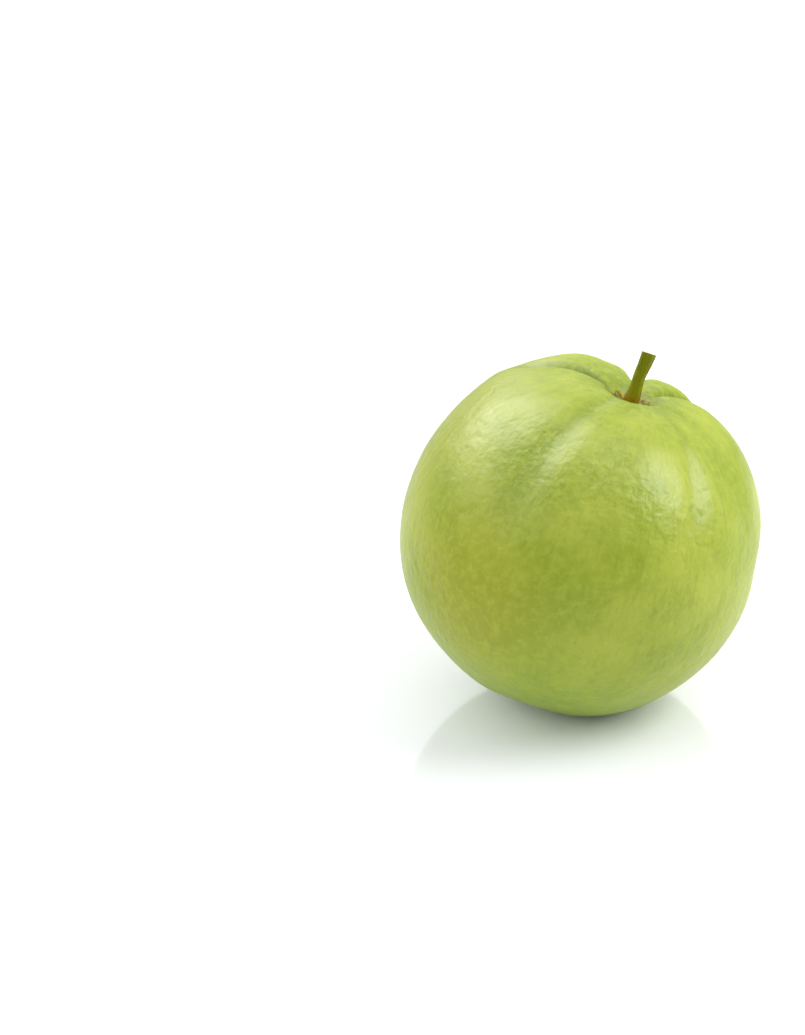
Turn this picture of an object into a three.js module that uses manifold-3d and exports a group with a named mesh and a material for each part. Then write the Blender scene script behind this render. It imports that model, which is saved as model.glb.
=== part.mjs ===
// A whole green guava as picked, in millimetres with +Z up. The berry lies over to
// one side on a small flat spot. Its cut stem stands in the hollow at the top, on a
// corky plate, and the dried calyx sits in the basin at the other end.
// The origin is the middle of the flat spot.
import * as THREE from 'three';
import { mergeVertices } from 'three/addons/utils/BufferGeometryUtils.js';
import Module from 'manifold-3d';

const wasm = await Module();
wasm.setup();

const rad = THREE.MathUtils.degToRad;
const smoothstep = THREE.MathUtils.smoothstep;

// Driving dimensions. Angles round the berry are in degrees: polar angle from the
// stem end, and azimuth about the stem axis from +X, with the front at 270.
const joinGap = 0.3; // clear space between two pieces that grew together
const lean = rad(17.5); // tilt of the stem axis towards +X

const berry = {
  width: 95, // across the middle
  shoulder: 46.6, // centre to the shoulders, along the axis
  base: 45.4, // centre to the calyx end, along the axis
  squareness: 2.1, // exponent of the outline, where 2 is an ellipse
  segments: 84,
  rings: 44,
  crowding: 0.5, // how much the rings close up towards both ends, from 0 to 1
};

const hollow = { depth: 3.9, reach: 17, tilt: 1.5, deepSide: 125 }; // wide dip round the stem
const pit = { depth: 3.6, reach: 8.5 }; // narrow pit in the middle of the hollow
const basin = { depth: 3.2, reach: 11 }; // dip round the calyx
// The berry's centre over the middle of the flat spot, and how softly the spot's edge rounds.
const rest = { shift: -2.6, height: 44.7, softness: 0.25 };

// Furrows run down from the hollow: azimuth, how much it drifts on the way to the
// equator, depth, half width in degrees, and the polar angles of the full depth and
// of the end.
const furrows = [
  { azimuth: 236, drift: 1, depth: 1.1, halfWidth: 8, full: 26, end: 104 },
  { azimuth: 263, drift: 0, depth: 0.4, halfWidth: 9, full: 22, end: 84 },
  { azimuth: 309, drift: -9, depth: 0.7, halfWidth: 5, full: 38, end: 92 },
  { azimuth: 334, drift: 0, depth: 0.6, halfWidth: 8, full: 22, end: 86 },
  { azimuth: 40, drift: -4, depth: 3, halfWidth: 8, full: 22, end: 74 },
  { azimuth: 84, drift: 6, depth: 2.8, halfWidth: 9, full: 22, end: 92 },
  { azimuth: 156, drift: -6, depth: 3.2, halfWidth: 6.5, full: 22, end: 50 },
];

// Swellings between the furrows, and flat places where the height is below zero:
// azimuth, polar angle, height, and half sizes round and along the berry in degrees.
const swellings = [
  { azimuth: 207, polar: 50, height: 1.2, across: 22, along: 30 },
  { azimuth: 247, polar: 56, height: 0.3, across: 5, along: 16 },
  { azimuth: 283, polar: 45, height: 0.8, across: 17, along: 26 },
  { azimuth: 316, polar: 47, height: 0.3, across: 7, along: 16 },
  { azimuth: 12, polar: 42, height: 0.7, across: 22, along: 22 },
  { azimuth: 56, polar: 27, height: 0.35, across: 12, along: 14 },
  { azimuth: 128, polar: 30, height: 1.6, across: 17, along: 17 },
  { azimuth: 155, polar: 46, height: 1.1, across: 20, along: 11 },
  { azimuth: 357, polar: 78, height: -0.9, across: 16, along: 9 },
  { azimuth: 340, polar: 115, height: -0.5, across: 34, along: 26 },
  { azimuth: 165, polar: 80, height: -0.3, across: 24, along: 24 },
  { azimuth: 318, polar: 146, height: 0.5, across: 30, along: 18 },
  { azimuth: 355, polar: 166, height: 0.5, across: 70, along: 9 },
];
const baseRibs = { count: 5, height: 0.35, first: 20, polar: 157, along: 14 };

const stem = {
  root: 38.7, // centre to the foot of the stem, inside its corky plate
  tip: 54.8, // centre to the cut end
  footRadius: 2.35,
  footBevel: 0.5,
  waistRadius: 1.68,
  tipRadius: 2.08,
  bow: 0.2, // sideways bend at mid length
  cutSlope: 0.3, // slant of the cut end, higher at the front
  ribs: 5,
  ribHeight: 0.05,
  rows: 12,
  segments: 30,
};

// The corky plate round the stem, with its section as shares of the radius and the height.
const plate = {
  seat: 38.3,
  rim: 40.9,
  radius: 4.6,
  unevenness: 0.12,
  section: [[0, 0], [0.94, 0], [1, 0.3], [0.98, 0.7], [0.87, 1], [0.72, 0.74], [0.5, 0.6], [0, 0.5]],
  segments: 36,
};

// The dried calyx. The disc's hollow is given as radius and height above its lowest edge.
const calyx = {
  seat: -38.6, // centre to the underside of the disc
  discRadius: 5.6,
  discHeight: 2.3,
  edge: 0.5, // bevel of the disc's lower edge
  hollow: [[0, 1.1], [2.4, 0.8], [4.1, 0.2], [4.9, 0]],
  segments: 30,
  styleRadius: 0.7,
  styleLength: 2.4,
  styleRoot: 1.3, // how far up into the disc the style reaches
};
const sepal = {
  count: 5,
  length: 4.6,
  lengthSpread: 0.12, // share by which the sepals differ in length
  width: 6.8,
  taper: 0.12,
  thickness: 0.9,
  inset: 0.65, // disc's edge to the sepal's middle
  level: 1.1, // underside of the disc to the sepal's root
  curl: 8, // inward bend at the root, in degrees
  tipCurl: 74, // how much that grows by the tip
  ripple: 0.15,
};

// Smallest signed angle from one azimuth to another, in degrees.
function turn(from, to) {
  return ((to - from + 540) % 360) - 180;
}

// A bell of height 1 that falls off on both sides.
function bell(distance, halfWidth) {
  return Math.exp(-((distance / halfWidth) ** 2));
}

// Distance from the berry's centre to its skin in a direction given in degrees.
function skinRadius(polar, azimuth) {
  const c = Math.cos(rad(polar));
  const s = Math.sin(rad(polar));
  const halfLength = c > 0 ? berry.shoulder : berry.base;
  const n = berry.squareness;
  const outline = (Math.abs(s / (berry.width / 2)) ** n + Math.abs(c / halfLength) ** n) ** (-1 / n);

  const offAxis = smoothstep(polar, 0, 12);
  const hollowDepth = hollow.depth + hollow.tilt * offAxis * Math.cos(rad(azimuth - hollow.deepSide));
  let r = outline - hollowDepth * bell(polar, hollow.reach);
  r -= pit.depth * Math.exp(-((polar / pit.reach) ** 4));
  r -= basin.depth * Math.exp(-(((180 - polar) / basin.reach) ** 3));

  for (const f of furrows) {
    const middle = f.azimuth + f.drift * (polar / 90);
    const along = smoothstep(polar, 0.2 * f.full, f.full) * (1 - smoothstep(polar, 34, f.end));
    r -= f.depth * along * bell(turn(middle, azimuth), f.halfWidth);
  }
  for (const w of swellings) {
    const fade = smoothstep(polar, 3, 16);
    r += w.height * fade * bell(turn(w.azimuth, azimuth), w.across) * bell(polar - w.polar, w.along);
  }
  const rib = Math.cos(rad(baseRibs.count * (azimuth - baseRibs.first)));
  r += baseRibs.height * rib * bell(polar - baseRibs.polar, baseRibs.along);
  return r;
}

// A direction round the berry as a unit vector in the berry's own frame.
function direction(polar, azimuth) {
  const s = Math.sin(rad(polar));
  return new THREE.Vector3(s * Math.cos(rad(azimuth)), s * Math.sin(rad(azimuth)), Math.cos(rad(polar)));
}

// The way down, seen from the leaning berry.
const down = new THREE.Vector3(Math.sin(lean), 0, -Math.cos(lean));

// Radius of the corky plate's edge, which waves in and out round the stem.
function plateEdge(azimuth) {
  const wave = 0.6 * Math.sin(3 * rad(azimuth) + 0.5) + 0.4 * Math.sin(7 * rad(azimuth) + 2);
  return plate.radius * (1 + plate.unevenness * wave);
}

// A closed geometry as a solid that can be joined and cut.
function solidOf(geometry) {
  const bare = geometry.clone();
  bare.deleteAttribute('normal');
  bare.deleteAttribute('uv');
  const merged = mergeVertices(bare, 1e-4);
  return new wasm.Manifold(
    new wasm.Mesh({
      numProp: 3,
      vertProperties: Float32Array.from(merged.attributes.position.array),
      triVerts: Uint32Array.from(merged.index.array),
    }),
  );
}

// A solid as a geometry that three.js can draw.
function geometryOf(solid) {
  const made = solid.getMesh();
  const geometry = new THREE.BufferGeometry();
  geometry.setAttribute('position', new THREE.BufferAttribute(Float32Array.from(made.vertProperties), 3));
  geometry.setIndex(new THREE.BufferAttribute(Uint32Array.from(made.triVerts), 1));
  geometry.computeVertexNormals();
  return geometry;
}

// Moves every point of a geometry by a function of that point.
function reshape(geometry, move) {
  const position = geometry.attributes.position;
  const p = new THREE.Vector3();
  for (let i = 0; i < position.count; i++) {
    p.fromBufferAttribute(position, i);
    move(p);
    position.setXYZ(i, p.x, p.y, p.z);
  }
  return geometry;
}

// A solid of revolution about Z, from [radius, height] corners listed upwards.
function turned(corners, segments) {
  const profile = corners.map(([r, z]) => new THREE.Vector2(r, z));
  return new THREE.LatheGeometry(profile, segments).rotateX(Math.PI / 2);
}

// The polar angle at which the skin, near one end, is this far from the stem axis.
function polarAt(radius, azimuth, end) {
  let inner = 0;
  let outer = 40;
  for (let i = 0; i < 40; i++) {
    const middle = (inner + outer) / 2;
    const polar = Math.abs(end - middle);
    if (skinRadius(polar, azimuth) * Math.sin(rad(polar)) < radius) inner = middle;
    else outer = middle;
  }
  return Math.abs(end - outer);
}

// One meridian of the berry: the floor and wall of the stem's socket, the skin down
// to the calyx, and the wall and floor of its socket.
function meridian(azimuth) {
  const points = [];
  const around = rad(azimuth);
  const onAxis = (radius, height) =>
    points.push(new THREE.Vector3(radius * Math.cos(around), radius * Math.sin(around), height));

  const stemSocket = plateEdge(azimuth) + joinGap;
  const calyxSocket = calyx.discRadius + joinGap;
  onAxis(0, plate.seat - joinGap);
  onAxis(stemSocket, plate.seat - joinGap);
  const first = polarAt(stemSocket, azimuth, 0);
  const last = polarAt(calyxSocket, azimuth, 180);
  const rows = berry.rings - 4;
  for (let i = 0; i <= rows; i++) {
    const t = i / rows;
    const eased = t - (berry.crowding * Math.sin(2 * Math.PI * t)) / (2 * Math.PI);
    const polar = first + (last - first) * eased;
    points.push(direction(polar, azimuth).multiplyScalar(skinRadius(polar, azimuth)));
  }
  onAxis(calyxSocket, calyx.seat + joinGap);
  onAxis(0, calyx.seat + joinGap);
  return points;
}

// Presses a point of the skin back to the flat spot, with a softened edge.
function press(p) {
  const over = p.dot(down) - rest.height;
  const soft = rest.softness;
  if (over <= -soft) return p;
  return p.addScaledVector(down, over >= soft ? -over : -((over + soft) ** 2) / (4 * soft));
}

// The berry: the meridians laid over a sphere's own grid.
function makeBerry() {
  const sphere = new THREE.SphereGeometry(1, berry.segments, berry.rings).rotateX(Math.PI / 2);
  const position = sphere.attributes.position;
  for (let column = 0; column <= berry.segments; column++) {
    const azimuth = (360 * (column % berry.segments)) / berry.segments;
    meridian(azimuth).forEach((point, row) => {
      const p = press(point);
      position.setXYZ(row * (berry.segments + 1) + column, p.x, p.y, p.z);
    });
  }
  return solidOf(sphere);
}

// The stem: a slim stub, thicker at the foot and at the slanting cut, faintly ribbed.
function makeStem() {
  const length = stem.tip - stem.root;
  const corners = [[0, 0], [stem.footRadius * 0.8, 0], [stem.footRadius, stem.footBevel]];
  for (let i = 1; i <= stem.rows; i++) {
    const t = i / stem.rows;
    const spread = (stem.footRadius - stem.waistRadius) * (1 - smoothstep(t, 0.08, 0.5));
    const flare = (stem.tipRadius - stem.waistRadius) * smoothstep(t, 0.55, 1);
    corners.push([stem.waistRadius + spread + flare, THREE.MathUtils.lerp(stem.footBevel, length, t)]);
  }
  corners.push([0, length]);
  return reshape(turned(corners, stem.segments), (p) => {
    const t = p.z / length;
    const azimuth = Math.atan2(p.y, p.x);
    const swell = 1 + stem.ribHeight * Math.cos(stem.ribs * azimuth) * smoothstep(t, 0.15, 0.4);
    p.x *= swell;
    p.y *= swell;
    p.z += stem.root - stem.cutSlope * p.y * smoothstep(t, 0.6, 1);
    p.x -= stem.bow * Math.sin(Math.PI * smoothstep(t, 0.2, 1)) ** 2;
  });
}

// The corky plate: low and dished, with an uneven raised edge.
function makePlate() {
  const height = plate.rim - plate.seat;
  return reshape(turned(plate.section, plate.segments), (p) => {
    const share = Math.hypot(p.x, p.y);
    const azimuth = THREE.MathUtils.radToDeg(Math.atan2(p.y, p.x));
    const edge = THREE.MathUtils.lerp(plate.radius, plateEdge(azimuth), smoothstep(share, 0.4, 0.9));
    p.x *= edge;
    p.y *= edge;
    p.z = plate.seat + p.z * height * (edge / plate.radius) ** 3;
  });
}

// One dried sepal: a cupped blade that rises from the disc's edge and curls inwards.
function makeSepal(index) {
  const blade = new THREE.BoxGeometry(1, 1, 1, 6, 7, 1);
  const around = (index * 2 * Math.PI) / sepal.count;
  const longer = 1 + sepal.lengthSpread * Math.sin(2.3 * index);
  return reshape(blade, (p) => {
    const t = p.y + 0.5; // from the root to the tip
    const side = p.x * 2; // from one edge to the other, -1 to 1
    const narrowing = Math.sqrt(Math.max(0.02, 1 - t ** 2.4)) * (1 - sepal.taper * t);
    const half = (sepal.width / 2) * narrowing;
    const curl = rad(sepal.curl + sepal.tipCurl * t * t);
    const along = sepal.length * longer * t;
    const thick = p.z * sepal.thickness;
    const ripple = sepal.ripple * Math.sin(3.1 * side + index) * t;
    const inward = 0.42 * along * Math.sin(curl);
    const radius = calyx.discRadius - sepal.inset - inward + thick * Math.cos(curl) + ripple;
    const height = along * Math.cos(0.72 * curl) + thick * Math.sin(curl);
    const azimuth = around - (side * half) / calyx.discRadius;
    p.set(radius * Math.cos(azimuth), radius * Math.sin(azimuth), calyx.seat - sepal.level - height);
  });
}

// The calyx: a shallow dished disc with a dried style in its middle and a ring of
// sepals round its edge, all grown as one. It points down out of the basin.
function makeCalyx() {
  const deep = calyx.seat - calyx.discHeight;
  const disc = solidOf(turned([
    ...calyx.hollow.map(([radius, height]) => [radius, deep + height]),
    [calyx.discRadius, deep + calyx.edge],
    [calyx.discRadius, calyx.seat],
    [0, calyx.seat],
  ], calyx.segments));
  const root = deep + calyx.styleRoot;
  const tip = root - calyx.styleLength;
  const style = solidOf(turned([
    [0, tip - 0.2],
    [calyx.styleRadius * 0.8, tip],
    [calyx.styleRadius, root - 0.9],
    [calyx.styleRadius * 1.5, root],
    [0, root],
  ], calyx.segments / 2));
  let whole = disc.add(style);
  for (let i = 0; i < sepal.count; i++) whole = whole.add(solidOf(makeSepal(i)));
  return whole;
}

const colours = { skin: '#a3b83c', stem: '#747512', calyx: '#6d5230' };

function meshOf(name, geometry, color, roughness) {
  const mesh = new THREE.Mesh(geometry, new THREE.MeshStandardMaterial({ color, roughness, metalness: 0 }));
  mesh.name = name;
  return mesh;
}

// The stem grown together with its corky plate.
function makeStub() {
  return solidOf(makeStem()).add(solidOf(makePlate()));
}

// The three pieces share the berry's own frame, whose Z is the stem axis.
const leaning = new THREE.Group();
leaning.add(
  meshOf('fruit', geometryOf(makeBerry()), colours.skin, 0.4),
  meshOf('stem', geometryOf(makeStub()), colours.stem, 0.7),
  meshOf('calyx', geometryOf(makeCalyx()), colours.calyx, 0.9),
);
leaning.rotation.y = lean;
leaning.position.set(rest.shift, 0, rest.height);

const guava = new THREE.Group();
guava.add(leaning);

export default guava;
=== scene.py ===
import math
import bpy
from mathutils import Matrix, Vector, noise


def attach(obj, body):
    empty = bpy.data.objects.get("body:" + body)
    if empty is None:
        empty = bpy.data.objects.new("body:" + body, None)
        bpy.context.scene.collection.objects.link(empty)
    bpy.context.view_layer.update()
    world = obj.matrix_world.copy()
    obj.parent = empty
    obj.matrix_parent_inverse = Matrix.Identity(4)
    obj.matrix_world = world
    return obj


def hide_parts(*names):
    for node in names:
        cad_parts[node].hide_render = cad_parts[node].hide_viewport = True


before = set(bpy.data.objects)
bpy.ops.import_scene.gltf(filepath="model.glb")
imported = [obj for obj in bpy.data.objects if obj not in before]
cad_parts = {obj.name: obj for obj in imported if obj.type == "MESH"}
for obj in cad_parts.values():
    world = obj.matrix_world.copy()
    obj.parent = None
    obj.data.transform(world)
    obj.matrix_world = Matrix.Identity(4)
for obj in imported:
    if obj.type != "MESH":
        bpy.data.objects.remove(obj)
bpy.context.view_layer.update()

mm = 0.001  # sizes below are in millimetres, as in the frame's drawing


# sRGB hex to the linear colour that a node wants
def hexColour(text):
    channels = [int(text[i:i + 2], 16) / 255 for i in (1, 3, 5)]
    linear = [c / 12.92 if c <= 0.04045 else ((c + 0.055) / 1.055) ** 2.4 for c in channels]
    return (*linear, 1.0)


# Adds a node. Values go to its inputs in order, or by name, and a node given as a value is linked.
def addNode(tree, kind, *values, named=None, **settings):
    node = tree.nodes.new(kind)
    for key, value in settings.items():
        setattr(node, key, value)
    for key, value in [*enumerate(values), *(named or {}).items()]:
        if isinstance(value, bpy.types.Node):
            value = value.outputs[0]
        if isinstance(value, bpy.types.NodeSocket):
            tree.links.new(value, node.inputs[key])
        elif value is not None:
            node.inputs[key].default_value = value
    return node


# exp(-|distance / halfWidth| ** power), a bump of height 1
def addBell(tree, distance, halfWidth, power=2.0):
    ratio = addNode(tree, "ShaderNodeMath", distance, halfWidth, operation="DIVIDE")
    size = addNode(tree, "ShaderNodeMath", ratio, operation="ABSOLUTE")
    raised = addNode(tree, "ShaderNodeMath", size, power, operation="POWER")
    negative = addNode(tree, "ShaderNodeMath", raised, -1.0, operation="MULTIPLY")
    return addNode(tree, "ShaderNodeMath", negative, operation="EXPONENT")


def newTree(name, inputs, outputs):
    tree = bpy.data.node_groups.new(name, "GeometryNodeTree")
    for label, kind in inputs.items():
        tree.interface.new_socket(label, in_out="INPUT", socket_type="NodeSocket" + kind)
    for label, kind in outputs.items():
        tree.interface.new_socket(label, in_out="OUTPUT", socket_type="NodeSocket" + kind)
    return tree, tree.nodes.new("NodeGroupInput").outputs, tree.nodes.new("NodeGroupOutput").inputs


def newPiece(name, mesh=None):
    piece = bpy.data.objects.new(name, mesh or bpy.data.meshes.new(name))
    bpy.context.scene.collection.objects.link(piece)
    return piece


# Runs a tree on a piece with these input values and keeps the result as a plain mesh
def growMesh(piece, tree, sizes):
    modifier = piece.modifiers.new(tree.name, "NODES")
    modifier.node_group = tree
    for item in tree.interface.items_tree:
        if item.in_out == "INPUT" and item.name in sizes:
            modifier[item.identifier] = sizes[item.name]
    depsgraph = bpy.context.evaluated_depsgraph_get()
    mesh = bpy.data.meshes.new_from_object(
        piece.evaluated_get(depsgraph), preserve_all_data_layers=True, depsgraph=depsgraph)
    piece.modifiers.remove(modifier)
    piece.data = mesh
    mesh.name = piece.name


def newMaterial(name):
    material = bpy.data.materials.new(name)
    material.use_nodes = True
    tree = material.node_tree
    return material, tree, tree.nodes["Principled BSDF"]


# The berry, in its own frame: Z is the stem axis, polar angles run from the stem end,
# and azimuths run about the axis from +X with the front at 270 degrees.
berry = {
    "width": 95.0,
    "shoulder": 46.6,  # centre to the shoulders, along the axis
    "base": 45.4,  # centre to the calyx end
    "squareness": 2.1,
    "lean": 17.5,  # degrees, towards +X
    "centre": (-2.6, 0.0, 44.7),  # over the middle of the flat spot
    "restSoftness": 0.25,
    "hollow": {"depth": 3.9, "reach": 17.0, "tilt": 1.5, "tiltFull": 12.0, "deepSide": 125.0},
    "pit": {"depth": 3.6, "reach": 8.5, "steepness": 4.0},
    "basin": {"depth": 3.2, "reach": 11.0, "steepness": 3.0},
    "calyxWell": {"depth": 4.2, "inner": 172.3, "outer": 173.3},  # where the skin turns in to the calyx
    "baseRibs": {"count": 5, "height": 0.35, "first": 20.0, "polar": 157.0, "along": 14.0},
    "furrowStart": 0.2,  # share of the polar angle of a furrow's full depth
    "furrowFade": 34.0,  # polar angle from which a furrow gets shallower
    "swellingStart": (3.0, 16.0),  # polar angles between which the swellings set in
    "segments": 420,
    "rings": {"first": 0.35, "last": 179.6, "step": 0.96},  # polar angles
    # rings lie closer in the pit and where the skin turns in to the calyx
    "closer": [{"at": 0.0, "reach": 14.0, "by": 0.45}, {"at": 172.6, "reach": 2.2, "by": 0.78}],
    "streakScale": {"across": 20.0, "along": 0.08},
    "inset": 0.2,  # keeps the relief inside the solid's box
    "undulation": {"size": 19.0, "height": 0.42},
    "dimples": {"size": 3.4, "height": 0.16},
}
# azimuth, drift on the way to the equator, depth, half width, polar angles of the full depth and of the end
furrows = [
    (236, 1, 1.1, 8, 26, 104),
    (263, 0, 0.4, 9, 22, 84),
    (309, -9, 0.7, 5, 38, 92),
    (334, 0, 0.6, 8, 22, 86),
    (40, -4, 3, 8, 22, 74),
    (84, 6, 2.8, 9, 22, 92),
    (156, -6, 3.2, 6.5, 22, 50),
]
# azimuth, polar angle, height, half size round the berry, half size along it
swellings = [
    (207, 50, 1.2, 22, 30),
    (247, 56, 0.3, 5, 16),
    (283, 45, 0.8, 17, 26),
    (316, 47, 0.3, 7, 16),
    (12, 42, 0.7, 22, 22),
    (56, 27, 0.35, 12, 14),
    (128, 30, 1.6, 17, 17),
    (155, 46, 1.1, 20, 11),
    (357, 78, -0.9, 16, 9),
    (340, 115, -0.5, 34, 26),
    (165, 80, -0.3, 24, 24),
    (318, 146, 0.5, 30, 18),
    (355, 166, 0.5, 70, 9),
]

berryToWorld = (
    Matrix.Translation(Vector(berry["centre"]) * mm)
    @ Matrix.Rotation(math.radians(berry["lean"]), 4, "Y")
    @ Matrix.Scale(mm, 4)
)


# A sphere's grid whose points carry only their polar angle and azimuth
def skinGrid():
    angles = []
    polar = berry["rings"]["first"]
    while polar < berry["rings"]["last"]:
        angles.append(polar)
        step = berry["rings"]["step"]
        for place in berry["closer"]:
            step -= place["by"] * math.exp(-(((polar - place["at"]) / place["reach"]) ** 2))
        polar += step
    count = berry["segments"]
    polars = [0.0] + [angle for angle in angles for _ in range(count)] + [180.0]
    azimuths = [0.0] + [360 * i / count for _ in angles for i in range(count)] + [0.0]
    south = len(polars) - 1
    faces = []
    for i in range(count):
        after = (i + 1) % count
        faces.append((0, 1 + i, 1 + after))
        for row in range(len(angles) - 1):
            upper, lower = 1 + row * count, 1 + (row + 1) * count
            faces.append((upper + i, lower + i, lower + after, upper + after))
        last = 1 + (len(angles) - 1) * count
        faces.append((last + i, south, last + after))
    mesh = bpy.data.meshes.new("guavaSkin")
    mesh.from_pydata([(0, 0, 0)] * len(polars), [], faces)
    mesh.attributes.new("polar", "FLOAT", "POINT").data.foreach_set("value", polars)
    mesh.attributes.new("azimuth", "FLOAT", "POINT").data.foreach_set("value", azimuths)
    return mesh


# One furrow: takes its cut off the radius and adds it to the running total of cuts
def furrowTree():
    names = ["Radius", "Cut", "Polar", "Azimuth", "Middle", "Drift", "Depth", "Half width", "Full", "End"]
    tree, given, made = newTree("furrow", {n: "Float" for n in names}, {"Radius": "Float", "Cut": "Float"})
    quarter = addNode(tree, "ShaderNodeMath", given["Polar"], 90.0, operation="DIVIDE")
    middle = addNode(
        tree, "ShaderNodeMath", given["Drift"], quarter, given["Middle"], operation="MULTIPLY_ADD")
    away = addNode(tree, "ShaderNodeMath", given["Azimuth"], middle, operation="SUBTRACT")
    turned = addNode(tree, "ShaderNodeMath", away, 180.0, -180.0, operation="WRAP")
    across = addBell(tree, turned, given["Half width"])
    first = addNode(tree, "ShaderNodeMath", given["Full"], berry["furrowStart"], operation="MULTIPLY")
    starts = addNode(
        tree, "ShaderNodeMapRange", given["Polar"], first, given["Full"], interpolation_type="SMOOTHSTEP")
    ends = addNode(
        tree, "ShaderNodeMapRange", given["Polar"], berry["furrowFade"], given["End"], 1.0, 0.0,
        interpolation_type="SMOOTHSTEP")
    along = addNode(tree, "ShaderNodeMath", starts, ends, operation="MULTIPLY")
    shape = addNode(tree, "ShaderNodeMath", along, across, operation="MULTIPLY")
    cut = addNode(tree, "ShaderNodeMath", shape, given["Depth"], operation="MULTIPLY")
    radius = addNode(tree, "ShaderNodeMath", given["Radius"], cut, operation="SUBTRACT")
    total = addNode(tree, "ShaderNodeMath", given["Cut"], cut, operation="ADD")
    tree.links.new(radius.outputs[0], made["Radius"])
    tree.links.new(total.outputs[0], made["Cut"])
    return tree


# One swelling, or a dent where its height is negative: adds it to the radius
def swellingTree():
    names = ["Radius", "Polar", "Azimuth", "Middle", "Crest", "Height", "Across", "Along"]
    tree, given, made = newTree("swelling", {n: "Float" for n in names}, {"Radius": "Float"})
    away = addNode(tree, "ShaderNodeMath", given["Azimuth"], given["Middle"], operation="SUBTRACT")
    turned = addNode(tree, "ShaderNodeMath", away, 180.0, -180.0, operation="WRAP")
    fromCrest = addNode(tree, "ShaderNodeMath", given["Polar"], given["Crest"], operation="SUBTRACT")
    across = addBell(tree, turned, given["Across"])
    along = addBell(tree, fromCrest, given["Along"])
    fade = addNode(
        tree, "ShaderNodeMapRange", given["Polar"], *berry["swellingStart"], interpolation_type="SMOOTHSTEP")
    shape = addNode(tree, "ShaderNodeMath", across, along, operation="MULTIPLY")
    faded = addNode(tree, "ShaderNodeMath", shape, fade, operation="MULTIPLY")
    radius = addNode(tree, "ShaderNodeMath", faded, given["Height"], given["Radius"], operation="MULTIPLY_ADD")
    tree.links.new(radius.outputs[0], made["Radius"])
    return tree


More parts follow.
